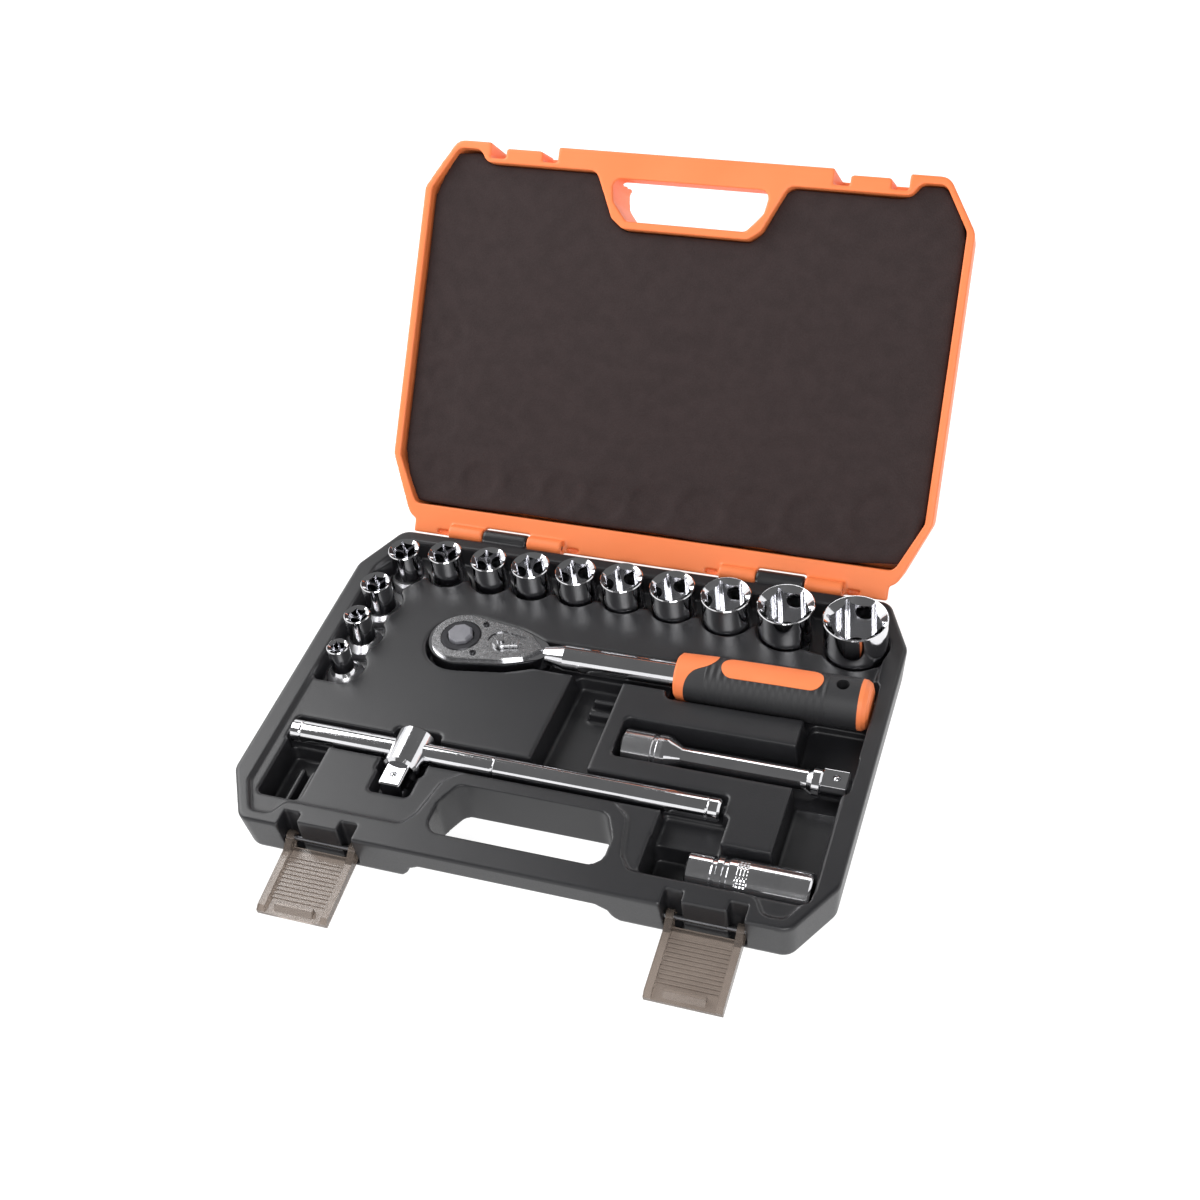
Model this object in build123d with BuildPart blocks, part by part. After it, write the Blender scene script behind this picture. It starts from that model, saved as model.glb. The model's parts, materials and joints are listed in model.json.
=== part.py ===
from build123d import *
import math
import os

os.makedirs("parts", exist_ok=True)

# ---------------------------------------------------------------- driving dimensions (mm)
# Frame: +X to the right along the front, +Y towards the hinges, +Z up.
# Origin: on the table, under the middle of the case.
CASE_WIDTH = 340.0
CASE_DEPTH = 235.6
BASE_HEIGHT = 28.0
LID_HEIGHT = 38.0
LID_GAP = 0.4
DRAFT_INSET = 3.0
LID_OPEN = 131.05

HINGE_Y = CASE_DEPTH / 2 + 5.3
HINGE_Z = BASE_HEIGHT - 1.6
KNUCKLE_RADIUS = 4.6
HINGE_PIN_RADIUS = 1.5
HINGE_CENTRES = (-87.0, 87.0)
PIN_CLEARANCE = 0.06

PLATEAU = 26.2
FLOOR_SKIN = 1.5
HANDLE_FRONT = -102.0
HANDLE_BACK = -68.0
HANDLE_HALF = 49.0
BAR_UNDERSIDE = 14.0

LATCH_CENTRES = (-107.0, 107.0)
LATCH_PIVOT_Y = -112.0
LATCH_PIVOT_Z = 12.0
LATCH_DROOP = 6.0
LATCH_HALF = 20.5
LATCH_LENGTH = 45.0
LATCH_PIN_RADIUS = 1.5

DRIVE_SQUARE = 12.6
DRIVE_HOLE = 12.8
SEAT_FLOOR = 4.0
TROUGH_FLOOR = 15.0

# size across flats: (outer radius at the hex end, outer radius at the drive end, length, x, y)
SOCKETS = {
    8: (6.5, 11.0, 38.0, -143.4, 1.3),
    10: (7.8, 11.0, 38.0, -143.2, 28.2),
    12: (9.0, 11.0, 38.0, -143.3, 55.9),
    13: (9.6, 11.0, 38.0, -137.8, 86.7),
    14: (10.2, 11.0, 38.0, -111.9, 89.4),
    15: (10.8, 11.0, 38.0, -83.4, 89.1),
    16: (11.5, 11.0, 38.0, -56.7, 89.4),
    17: (12.1, 11.0, 38.0, -28.4, 90.1),
    18: (12.7, 11.0, 38.0, 0.2, 90.5),
    19: (13.3, 11.3, 38.0, 31.3, 89.8),
    21: (14.6, 11.6, 40.0, 64.3, 87.6),
    24: (16.5, 12.4, 42.0, 100.1, 85.2),
    27: (18.3, 14.2, 44.0, 141.0, 80.5),
}

RATCHET_X = -81.0
RATCHET_Y = 34.0
RATCHET_TURN = 0.7
SHANK_Z = 26.5
HEAD_BOTTOM = 15.0
HEAD_TOP = 29.8
COVER_TOP = 31.8
HEAD_RADIUS = 19.2
SHOULDER_X = 27.0
SHOULDER_RADIUS = 15.2
NECK_X = 46.0
NECK_RADIUS = 8.0
SHANK_START = 51.5
SHANK_FULL = 64.0
SHANK_RADIUS = 7.6
TANG_RADIUS = 6.0
TANG_LENGTH = 80.0
GRIP_RADIUS = 14.3
COLLAR_START = 131.0
GRIP_START = 138.0
GRIP_END = 234.5
RATCHET_END = 240.2
GEAR_RADIUS = 12.2
GEAR_TEETH = 24

ROD_RADIUS = 6.35
ROD_LENGTH = 250.0
ROD_X = -151.5
ROD_Y = -50.0
ROD_Z = 24.0
T_HEAD_X = -79.0
T_HEAD_RADIUS = 10.8
T_HEAD_FRONT = -65.0
T_HEAD_BACK = -39.0

EXTENSION_X = 33.0
EXTENSION_Y = -13.5
EXTENSION_Z = 16.0
EXTENSION_LENGTH = 125.0
EXTENSION_RADIUS = 11.0

PLUG_X = 90.5
PLUG_Y = -86.0
PLUG_Z = 15.5
PLUG_LENGTH = 65.0
PLUG_RADIUS = 11.8


def save(piece, name):
    """Label a finished piece and write its STEP file."""
    piece.part.label = name
    export_step(piece.part, f"parts/{name}.step")


# ---------------------------------------------------------------- outlines
BACK_CUT = (16.6, 34.6)
FRONT_CUT = (18.2, 32.0)


def case_outline(plane, inset, corner):
    """The case's octagonal outline on a plane, pulled in all round and rounded at its corners."""
    half_width = CASE_WIDTH / 2
    half_depth = CASE_DEPTH / 2
    right = [
        (half_width - FRONT_CUT[0], -half_depth),
        (half_width, -half_depth + FRONT_CUT[1]),
        (half_width, half_depth - BACK_CUT[1]),
        (half_width - BACK_CUT[0], half_depth),
    ]
    left = [(-x, y) for x, y in reversed(right)]
    return outline_of(plane, right + left, corner, -inset)


def outline_of(plane, points, corner, grow=0.0):
    """A closed outline with rounded corners, grown (or shrunk) before it is rounded."""
    with BuildSketch(plane) as outline:
        with BuildLine():
            Polyline(*points, close=True)
        make_face()
        if grow:
            offset(amount=grow, kind=Kind.INTERSECTION)
        fillet(outline.vertices(), corner)
    return outline.sketch


def box_points(x0, x1, y0, y1):
    """The corners of a rectangle."""
    return [(x0, y0), (x1, y0), (x1, y1), (x0, y1)]


def handle_points():
    """The hand hole: a little narrower towards the hinges than at the grip bar."""
    narrow = HANDLE_HALF - 7.0
    shoulder = HANDLE_BACK - 15.0
    return [
        (-HANDLE_HALF, HANDLE_FRONT),
        (HANDLE_HALF, HANDLE_FRONT),
        (HANDLE_HALF, shoulder),
        (narrow, HANDLE_BACK),
        (-narrow, HANDLE_BACK),
        (-HANDLE_HALF, shoulder),
    ]


def under_bar_points():
    """The space under the grip bar, seen from the front: it opens in a curve between two feet."""
    left = [(-68.0, -1.0), (-60.5, 1.6), (-57.0, 6.0), (-54.5, 11.0), (-49.0, BAR_UNDERSIDE)]
    return left + [(-x, z) for x, z in reversed(left)]


def field_points():
    """The sunk field inside the rim: it dips behind each front corner and goes round the hand hole."""
    right = [
        (43.0, -60.5),
        (52.0, -68.0),
        (57.0, -92.0),
        (63.0, -101.0),
        (130.0, -101.0),
        (136.0, -111.5),
        (148.0, -111.5),
        (158.5, -92.0),
        (158.5, 82.0),
        (147.0, 109.5),
    ]
    left = [(-x, y) for x, y in reversed(right)]
    return right + left


# ---------------------------------------------------------------- base
def pocket(points, floor, corner, draft=3.0, top=BASE_HEIGHT):
    """Sink a rounded pocket into the tray, from above down to its floor."""
    shape = outline_of(Plane.XY.offset(top), points, corner)
    extrude(shape, amount=floor - top, taper=draft, mode=Mode.SUBTRACT)


def round_well(x, y, radius, floor, top=BASE_HEIGHT):
    """Sink a round well into the tray."""
    with BuildSketch(Plane.XY.offset(top)) as ring:
        with Locations((x, y)):
            Circle(radius)
    extrude(ring.sketch, amount=floor - top, mode=Mode.SUBTRACT)


def ratchet_plane(height):
    """The ratchet's own plane at a height: origin on its drive axis, x along its handle."""
    turn = math.radians(RATCHET_TURN)
    return Plane(
        origin=(RATCHET_X, RATCHET_Y, height),
        x_dir=(math.cos(turn), math.sin(turn), 0),
        z_dir=(0, 0, 1),
    )


def ratchet_pocket(points, floor, corner, draft=3.0):
    """Sink a pocket that follows the ratchet's line."""
    shape = outline_of(ratchet_plane(BASE_HEIGHT), points, corner)
    extrude(shape, amount=floor - BASE_HEIGHT, taper=draft, mode=Mode.SUBTRACT)


def socket_wells():
    """Wells for the standing sockets, joined by a trough along the left side and the back."""
    left = [(-158.0, -12.0), (-134.0, -12.0), (-134.0, 70.0), (-122.0, 84.0), (-122.0, 108.5)]
    left += [(-143.0, 108.5), (-158.0, 78.0)]
    pocket(left, TROUGH_FLOOR, 5.0)
    pocket(box_points(-128.0, 118.0, 84.0, 108.5), TROUGH_FLOOR, 4.0)
    back_right = [(110.0, 72.0), (158.0, 66.0), (158.0, 80.0), (146.0, 108.5), (110.0, 108.5)]
    pocket(back_right, TROUGH_FLOOR, 4.0)
    for mouth, drive, length, x, y in SOCKETS.values():
        round_well(x, y, max(drive + 2.4, mouth + 0.9), TROUGH_FLOOR)
        round_well(x, y, drive + 0.5, SEAT_FLOOR)


def bar_nests():
    """Nests for the sliding T-handle, the extension bar and the spark plug socket."""
    rod_end = ROD_X + ROD_LENGTH
    rod_floor = ROD_Z - ROD_RADIUS - 0.3
    pocket(box_points(ROD_X - 1.0, rod_end + 2.0, ROD_Y - 8.5, ROD_Y + 9.5), rod_floor, 3.0)
    pocket(box_points(T_HEAD_X - 14.0, T_HEAD_X + 14.0, -68.0, -35.5), 11.5, 3.0)
    pocket(box_points(T_HEAD_X - 12.0, T_HEAD_X + 12.0, -82.5, -60.0), 14.5, 3.0)
    pocket(box_points(-151.0, -125.0, -98.0, -56.0), 8.0, 4.0)
    pocket(box_points(68.0, 104.0, -75.5, -54.0), 15.0, 3.0)
    end = EXTENSION_X + EXTENSION_LENGTH
    pocket(box_points(EXTENSION_X - 3.0, end + 3.0, -28.0, 0.6), 4.4, 4.0)
    pocket(box_points(PLUG_X - 23.0, PLUG_X + PLUG_LENGTH + 2.0, -99.8, -72.2), 3.2, 4.0)
    pocket(box_points(131.0, 157.0, -78.0, -20.0), 8.0, 4.0)


def ratchet_nest():
    """Pear-shaped nest for the ratchet's head, then its shank and its grip."""
    neck = 11.0
    gap = 2.6
    with BuildSketch(ratchet_plane(BASE_HEIGHT)) as pear:
        Circle(HEAD_RADIUS + gap)
        with Locations((SHOULDER_X, 0)):
            Circle(SHOULDER_RADIUS + gap)
        with Locations((NECK_X, 0)):
            Circle(NECK_RADIUS + gap)
        make_hull()
    extrude(pear.sketch, amount=HEAD_BOTTOM - 0.5 - BASE_HEIGHT, mode=Mode.SUBTRACT)
    with BuildSketch(ratchet_plane(BASE_HEIGHT)) as drive_hole:
        Circle(10.0)
    extrude(drive_hole.sketch, amount=FLOOR_SKIN - BASE_HEIGHT, mode=Mode.SUBTRACT)
    ratchet_pocket(box_points(NECK_X - 4.0, COLLAR_START, -neck, neck), SHANK_Z - SHANK_RADIUS - 0.5, 4.0)
    grip = GRIP_RADIUS + 3.0
    grip_floor = SHANK_Z - GRIP_RADIUS - 0.7
    ratchet_pocket(box_points(COLLAR_START - 4.0, RATCHET_END + 1.4, -grip, grip + 1.0), grip_floor, 5.0)
    pocket(box_points(126.0, 160.5, -24.0, 30.0), 7.0, 5.0)


def finger_trench():
    """The trench that lets fingers under the ratchet's shank, with its low steps."""
    pocket([(-12.0, -44.0), (21.0, -44.0), (21.0, 30.0), (-9.0, 30.0)], 10.0, 4.0, draft=6.0)
    with BuildSketch(Plane.XY.offset(9.5)) as steps:
        for y in (7.0, 16.5):
            with Locations((12.5, y)):
                RectangleRounded(15.0, 3.6, 1.2)
    extrude(steps.sketch, amount=6.5)
    with BuildSketch(Plane.XY.offset(7.5)) as ribs:
        for x in (-137.5, -130.5):
            with Locations((x, -83.0)):
                RectangleRounded(3.2, 27.0, 1.2)
    extrude(ribs.sketch, amount=9.0)


def side_plane(x):
    """The plane across the case at x: its own x runs to the back and its y runs up."""
    return Plane(origin=(x, 0, 0), x_dir=(0, 1, 0), z_dir=(1, 0, 0))


def latch_bay(x):
    """Two arm slots in the front wall, open to the front and above, with a boss between them."""
    inner = 12.0
    outer = LATCH_HALF + 1.2
    with BuildSketch(Plane.XY.offset(4.4)) as slots:
        for side in (-1, 1):
            with Locations((x + side * (inner + outer) / 2, LATCH_PIVOT_Y - 4.5)):
                Rectangle(outer - inner, 19.0)
    extrude(slots.sketch, amount=BASE_HEIGHT, mode=Mode.SUBTRACT)
    with BuildSketch(Plane.XY.offset(4.4)) as boss_face:
        with Locations((x, -120.6)):
            Rectangle(2 * inner + 1.0, 14.2)
    extrude(boss_face.sketch, amount=BASE_HEIGHT, mode=Mode.SUBTRACT)
    with BuildSketch(side_plane(x)) as pin_hole:
        with Locations((LATCH_PIVOT_Y, LATCH_PIVOT_Z)):
            Circle(LATCH_PIN_RADIUS + PIN_CLEARANCE)
    extrude(pin_hole.sketch, amount=outer + 3.0, both=True, mode=Mode.SUBTRACT)


def base_knuckle(x):
    """The black middle knuckle of a hinge, on a web from the back wall."""
    half = 14.3
    with BuildSketch(side_plane(x)) as knuckle:
        with Locations((HINGE_Y, HINGE_Z)):
            Circle(KNUCKLE_RADIUS)
        with BuildLine():
            Polyline(
                (HINGE_Y, HINGE_Z - KNUCKLE_RADIUS),
                (HINGE_Y, HINGE_Z),
                (CASE_DEPTH / 2 - 4.0, HINGE_Z),
                (CASE_DEPTH / 2 - 4.0, HINGE_Z - KNUCKLE_RADIUS - 4.0),
                close=True,
            )
        make_face()
    extrude(knuckle.sketch, amount=half, both=True)
    hinge_bore(x, half)


def hinge_bore(x, half):
    """The bore of a hinge knuckle in the base."""
    with BuildSketch(side_plane(x)) as bore:
        with Locations((HINGE_Y, HINGE_Z)):
            Circle(HINGE_PIN_RADIUS + PIN_CLEARANCE)
    extrude(bore.sketch, amount=half, both=True, mode=Mode.SUBTRACT)


def air_spaces():
    """Sealed air spaces between the two walls of the blow-moulded base."""
    spaces = (
        (-126.0, -22.0, -32.0, 9.0, 2.2, 23.8),
        (-126.0, -8.0, 62.0, 73.0, 2.2, 23.8),
        (4.0, 112.0, 59.5, 70.5, 2.2, 23.8),
        (-120.0, -96.0, -97.0, -62.0, 2.2, 23.8),
        (-63.0, -20.0, -38.0, 9.0, 2.2, 15.0),
        (24.0, 120.0, 1.0, 13.0, 2.2, 23.5),
        (107.0, 127.0, -70.0, -32.0, 2.2, 23.5),
        (24.0, 104.0, -56.0, -32.0, 2.2, 15.0),
    )
    for x0, x1, y0, y1, z0, z1 in spaces:
        with Locations(((x0 + x1) / 2, (y0 + y1) / 2, (z0 + z1) / 2)):
            Box(x1 - x0, y1 - y0, z1 - z0, mode=Mode.SUBTRACT)


with BuildPart() as base_shell:
    foot = case_outline(Plane.XY, DRAFT_INSET, 9.0)
    rim = case_outline(Plane.XY.offset(BASE_HEIGHT), 0.0, 9.0)
    loft([foot, rim])
    fillet(base_shell.faces().sort_by(Axis.Z)[0].edges(), 4.0)
    fillet(base_shell.faces().sort_by(Axis.Z)[-1].edges(), 1.6)
    pocket(field_points(), PLATEAU, 6.0, draft=30.0)
    socket_wells()
    ratchet_nest()
    bar_nests()
    finger_trench()
    hand_hole = outline_of(Plane.XY.offset(-1.0), handle_points(), 8.0)
    extrude(hand_hole, amount=BASE_HEIGHT + 2.0, mode=Mode.SUBTRACT)
    with BuildSketch(Plane.XZ.offset(101.0)) as under_bar:
        with BuildLine():
            Polyline(*under_bar_points(), close=True)
        make_face()
        fillet(under_bar.vertices().sort_by(Axis.Y)[2:], 3.0)
    extrude(under_bar.sketch, amount=29.0, mode=Mode.SUBTRACT)
    for centre in LATCH_CENTRES:
        latch_bay(centre)
    for centre in HINGE_CENTRES:
        base_knuckle(centre)
    air_spaces()
save(base_shell, "base_shell")


# ---------------------------------------------------------------- lid, drawn in its closed place and stood open by its plane
OPEN = math.radians(LID_OPEN)


def lid_plane(closed_z):
    """The plane that lies at a height over the table when the lid is closed, at its open angle."""
    hinge = Plane(
        origin=(0, HINGE_Y, HINGE_Z),
        x_dir=(1, 0, 0),
        z_dir=(0, math.sin(OPEN), math.cos(OPEN)),
    )
    return hinge.offset(closed_z - HINGE_Z)


def on_lid(points):
    """Closed-lid x, y turned into x, y on the lid's plane."""
    return [(x, y - HINGE_Y) for x, y in points]


LID_RIM = BASE_HEIGHT + LID_GAP
LID_TOP = BASE_HEIGHT + LID_HEIGHT
LID_BACK_CUT = (16.5, 38.5)
LID_FRONT_CUT = (18.5, 30.1)
LID_SIDE_WALL = 4.8
LID_BACK_WALL = 9.5
LID_SKIN = 3.0
LID_HANDLE_BACK = -77.0
LIP_BACK = HINGE_Y + 2.9
LIP_HALF = 150.0
LIP_THICKNESS = 3.2
LATCH_RECESS_Y = -108.2
KEEPER_FRONT = -114.4
KEEPER_TOP = 49.4


def lid_outline(closed_z, inset, corner):
    """The lid's outer outline at a closed height."""
    half_width = CASE_WIDTH / 2
    half_depth = CASE_DEPTH / 2
    right = [
        (half_width - LID_FRONT_CUT[0], -half_depth),
        (half_width, -half_depth + LID_FRONT_CUT[1]),
        (half_width, half_depth - LID_BACK_CUT[1]),
        (half_width - LID_BACK_CUT[0], half_depth),
    ]
    left = [(-x, y) for x, y in reversed(right)]
    return outline_of(lid_plane(closed_z), on_lid(right + left), corner, -inset)


def lid_handle_points():
    """The lid's hand hole: shorter than the base's, and narrowing towards the hinges."""
    right = [(HANDLE_HALF, HANDLE_FRONT), (46.5, -88.0), (37.0, LID_HANDLE_BACK)]
    return right + [(-x, y) for x, y in reversed(right)]


def cavity_points(gap=0.0):
    """The lid's inside: it stops behind the latch bays and goes round the hand hole."""
    side = CASE_WIDTH / 2 - LID_SIDE_WALL - gap
    back = CASE_DEPTH / 2 - LID_BACK_WALL - gap
    front = -105.4 + gap
    right = [
        (39.0 + gap, LID_HANDLE_BACK + 4.6 + gap),
        (46.5 + gap, LID_HANDLE_BACK - 1.0 + gap),
        (53.5 + gap, -93.0 + gap),
        (59.5 + gap, front),
        (131.0, front),
        (136.0, -113.0 + gap),
        (150.0 - gap, -113.0 + gap),
        (side, -CASE_DEPTH / 2 + LID_FRONT_CUT[1]),
        (side, CASE_DEPTH / 2 - LID_BACK_CUT[1]),
        (side - 14.0, back),
    ]
    left = [(-x, y) for x, y in reversed(right)]
    return right + left


def lid_prism(points, corner, low, high, mode=Mode.SUBTRACT):
    """A straight prism on the lid between two closed heights."""
    shape = outline_of(lid_plane(low), on_lid(points), corner)
    extrude(shape, amount=high - low, mode=mode)


def lid_latch_bay(x):
    """A bay in the lid's front for the closed latch, with the keeper tab standing in it."""
    outer = LATCH_HALF + 1.5
    lid_prism(box_points(x - outer, x + outer, -130.0, LATCH_RECESS_Y), 0.6, 20.0, 59.0)
    keeper = box_points(x - 12.0, x + 12.0, KEEPER_FRONT, LATCH_RECESS_Y + 2.0)
    lid_prism(keeper, 1.2, LID_RIM, KEEPER_TOP, mode=Mode.ADD)


def lid_knuckle(x, half):
    """An orange knuckle on the lid, turning on the hinge pin."""
    side = Plane(
        origin=(x, HINGE_Y, HINGE_Z),
        x_dir=(0, math.cos(OPEN), -math.sin(OPEN)),
        z_dir=(1, 0, 0),
    )
    with BuildSketch(side) as knuckle:
        Circle(KNUCKLE_RADIUS)
        with BuildLine():
            Polyline(
                (0.0, KNUCKLE_RADIUS),
                (-8.0, KNUCKLE_RADIUS),
                (-8.0, LID_RIM - HINGE_Z),
                (0.0, LID_RIM - HINGE_Z),
                close=True,
            )
        make_face()
    extrude(knuckle.sketch, amount=half, both=True)
    with BuildSketch(side) as bore:
        Circle(HINGE_PIN_RADIUS + PIN_CLEARANCE)
    extrude(bore.sketch, amount=half, both=True, mode=Mode.SUBTRACT)


def lid_lip():
    """The lip along the lid's back edge, cut away round the base's knuckles, with its small slots."""
    back = CASE_DEPTH / 2
    lip = box_points(-LIP_HALF, LIP_HALF, back - 3.0, LIP_BACK)
    lid_prism(lip, 1.0, LID_RIM, LID_RIM + LIP_THICKNESS, mode=Mode.ADD)
    for x in HINGE_CENTRES:
        gap = box_points(x - 14.9, x + 14.9, back + 0.1, LIP_BACK + 3.0)
        lid_prism(gap, 0.5, LID_RIM - 1.0, LID_RIM + LIP_THICKNESS + 1.0)
        for offset in (-43.0, -20.5, 20.5, 43.0):
            slot = box_points(x + offset - 3.8, x + offset + 3.8, LIP_BACK - 3.6, LIP_BACK - 0.8)
            lid_prism(slot, 0.6, LID_RIM - 1.0, LID_RIM + 2.2)


with BuildPart() as lid_shell:
    loft([lid_outline(LID_RIM, 0.0, 9.0), lid_outline(LID_TOP, DRAFT_INSET, 9.0)])
    crown = lid_shell.faces().filter_by(lid_plane(LID_TOP)).sort_by(Axis.Y)[-1]
    fillet(crown.edges(), 5.0)
    lid_prism(cavity_points(), 6.0, LID_RIM, LID_TOP - LID_SKIN)
    lid_prism(lid_handle_points(), 5.0, LID_RIM - 1.0, LID_TOP + 1.0)
    lid_prism(box_points(-58.0, 58.0, -130.0, -101.0), 4.0, LID_RIM + 15.0, LID_TOP + 1.0)
    for centre in LATCH_CENTRES:
        lid_latch_bay(centre)
    for centre in HINGE_CENTRES:
        lid_knuckle(centre - 26.0, 11.3)
        lid_knuckle(centre + 26.0, 11.3)
    lid_lip()
    panel = outline_of(
        lid_plane(LID_TOP - 1.4),
        on_lid([(-138.0, -52.0), (138.0, -52.0), (150.0, -40.0), (150.0, 78.0)]
               + [(136.0, 96.0), (-136.0, 96.0), (-150.0, 78.0), (-150.0, -40.0)]),
        6.0,
    )
    extrude(panel, amount=3.0, mode=Mode.SUBTRACT)
save(lid_shell, "lid_shell")

FOAM_FACE = BASE_HEIGHT + 5.5
with BuildPart() as lid_foam:
    lid_prism(cavity_points(0.4), 5.6, FOAM_FACE, LID_TOP - LID_SKIN, mode=Mode.ADD)
save(lid_foam, "lid_foam")


# ---------------------------------------------------------------- hinge pins and latches
for name, centre in zip(("hinge_pin_left", "hinge_pin_right"), HINGE_CENTRES):
    with BuildPart() as hinge_pin:
        with BuildSketch(Plane(origin=(centre, HINGE_Y, HINGE_Z), z_dir=(1, 0, 0))):
            Circle(HINGE_PIN_RADIUS)
        extrude(amount=36.8, both=True)
        chamfer(hinge_pin.faces().filter_by(Axis.X).edges(), 0.4)
    save(hinge_pin, name)


def latch_side(x):
    """The latch's side view: x outward from its pivot along the plate, y towards the case when shut."""
    droop = math.radians(LATCH_DROOP)
    return Plane(
        origin=(x, LATCH_PIVOT_Y, LATCH_PIVOT_Z),
        x_dir=(0, -math.cos(droop), -math.sin(droop)),
        z_dir=(-1, 0, 0),
    )


PLATE_FACE = -6.0
PLATE_SKIN = 2.0
PLATE_START = 3.6
RIB_COUNT = 11


def latch_arm(plane):
    """One arm: a round eye on the pin running into the side wall of the plate."""
    with BuildSketch(plane) as arm:
        with BuildLine():
            Polyline(
                (0.0, 3.4),
                (9.0, -1.0),
                (LATCH_LENGTH - 3.0, -1.4),
                (LATCH_LENGTH, -3.2),
                (LATCH_LENGTH, PLATE_FACE),
                (PLATE_START, PLATE_FACE),
                (0.0, -3.4),
                close=True,
            )
        make_face()
        Circle(3.4)
        Circle(LATCH_PIN_RADIUS + PIN_CLEARANCE, mode=Mode.SUBTRACT)
    return arm.sketch


def make_latch(name, x):
    """A clear plastic toggle latch: ribbed plate, two arms with eyes, and a catch lip at its tip."""
    inner = LATCH_HALF - 4.0
    with BuildPart() as latch:
        for side in (-1, 1):
            arm = latch_arm(latch_side(x + side * (LATCH_HALF + inner) / 2))
            extrude(arm, amount=(LATCH_HALF - inner) / 2, both=True)
        with BuildSketch(latch_side(x)) as plate:
            with Locations(((PLATE_START + LATCH_LENGTH) / 2, PLATE_FACE + PLATE_SKIN / 2)):
                Rectangle(LATCH_LENGTH - PLATE_START, PLATE_SKIN)
        extrude(amount=LATCH_HALF, both=True)
        with BuildSketch(latch_side(x)) as catch:
            with BuildLine():
                Polyline(
                    (LATCH_LENGTH - 6.6, PLATE_FACE + PLATE_SKIN),
                    (LATCH_LENGTH - 6.6, -0.6),
                    (LATCH_LENGTH - 4.4, -0.6),
                    (LATCH_LENGTH - 2.0, PLATE_FACE + PLATE_SKIN),
                    close=True,
                )
            make_face()
        extrude(amount=11.0, both=True)
        with BuildSketch(latch_side(x)) as ribs:
            for index in range(RIB_COUNT):
                with Locations((10.0 + 2.5 * index, PLATE_FACE + PLATE_SKIN + 0.35)):
                    Rectangle(1.0, 0.8)
        extrude(amount=LATCH_HALF - 4.0, both=True)
    save(latch, name)


def make_latch_pin(name, x):
    """The steel pin that the latch turns on, held in the front wall's boss."""
    with BuildPart() as latch_pin:
        with BuildSketch(Plane(origin=(x, LATCH_PIVOT_Y, LATCH_PIVOT_Z), z_dir=(1, 0, 0))):
            Circle(LATCH_PIN_RADIUS)
        extrude(amount=LATCH_HALF + 3.6, both=True)
        chamfer(latch_pin.faces().filter_by(Axis.X).edges(), 0.3)
    save(latch_pin, name)


for side, centre in zip(("left", "right"), LATCH_CENTRES):
    make_latch(f"latch_{side}", centre)
    make_latch_pin(f"latch_pin_{side}", centre)


# ---------------------------------------------------------------- sockets
def hex_cut(plane, across_flats, depth):
    """A hexagon mouth with small round reliefs at its corners, cut along the plane's normal."""
    with BuildSketch(plane) as hexagon:
        RegularPolygon(across_flats / 2 + 0.08, 6, major_radius=False)
        with PolarLocations(across_flats / math.sqrt(3.0) - across_flats * 0.02, 6):
            Circle(across_flats * 0.055)
    extrude(hexagon.sketch, amount=depth, mode=Mode.SUBTRACT)


def make_socket(size, mouth, drive, length, x, y):
    """A six-point socket standing on its drive end, mouth up."""
    low = SEAT_FLOOR + 0.1
    waist = low + 15.0
    top = low + length
    shoulder = waist + max(2.0, abs(mouth - drive) * 1.3)
    with BuildPart() as socket:
        with BuildSketch(Plane(origin=(x, y, 0), x_dir=(1, 0, 0), z_dir=(0, -1, 0))):
            with BuildLine():
                Polyline(
                    (0.0, low),
                    (drive - 0.8, low),
                    (drive, low + 0.8),
                    (drive, low + 9.0),
                    (drive - 0.5, low + 9.6),
                    (drive - 0.5, low + 11.0),
                    (drive, low + 11.6),
                    (drive, waist),
                    (mouth, shoulder),
                    (mouth, top - 0.5),
                    (mouth - 0.4, top),
                    (0.0, top),
                    close=True,
                )
            make_face()
        revolve(axis=Axis((x, y, 0), (0, 0, 1)))
        lead_in = 0.85 * (mouth - 0.7 - size / 2)
        with BuildSketch(Plane(origin=(x, y, 0), x_dir=(1, 0, 0), z_dir=(0, -1, 0))):
            with BuildLine():
                Polyline((0.0, top), (mouth - 0.7, top), (size / 2, top - lead_in), (0.0, top - lead_in), close=True)
            make_face()
        revolve(axis=Axis((x, y, 0), (0, 0, 1)), mode=Mode.SUBTRACT)
        depth = 10.0 + size * 0.42
        mouth_plane = Plane(origin=(x, y, top), x_dir=(1, 0, 0), z_dir=(0, 0, -1))
        hex_cut(mouth_plane, size, depth)
        with BuildSketch(Plane(origin=(x, y, low))):
            Rectangle(DRIVE_HOLE, DRIVE_HOLE)
        extrude(amount=14.0, mode=Mode.SUBTRACT)
        with BuildSketch(Plane(origin=(x, y, low + 13.0))):
            Circle(min(size / 2 - 0.6, 6.0))
        extrude(amount=length - depth - 12.0, mode=Mode.SUBTRACT)
    save(socket, f"socket_{size:02d}")


for size, (mouth, drive, length, x, y) in SOCKETS.items():
    make_socket(size, mouth, drive, length, x, y)


def along_x(x, y, z):
    """A plane across a lying bar: its x is the world's y, its y is up, its normal is +X."""
    return Plane(origin=(x, y, z), x_dir=(0, 1, 0), z_dir=(1, 0, 0))


def turned_bar(x, y, z, profile):
    """A round bar lying along X, turned from a list of (distance along, radius) points."""
    with BuildSketch(Plane(origin=(x, y, z), x_dir=(1, 0, 0), z_dir=(0, -1, 0))) as half:
        with BuildLine():
            Polyline((0.0, 0.0), *profile, (profile[-1][0], 0.0), close=True)
        make_face()
    revolve(half.sketch, axis=Axis((x, y, z), (1, 0, 0)))


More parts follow.
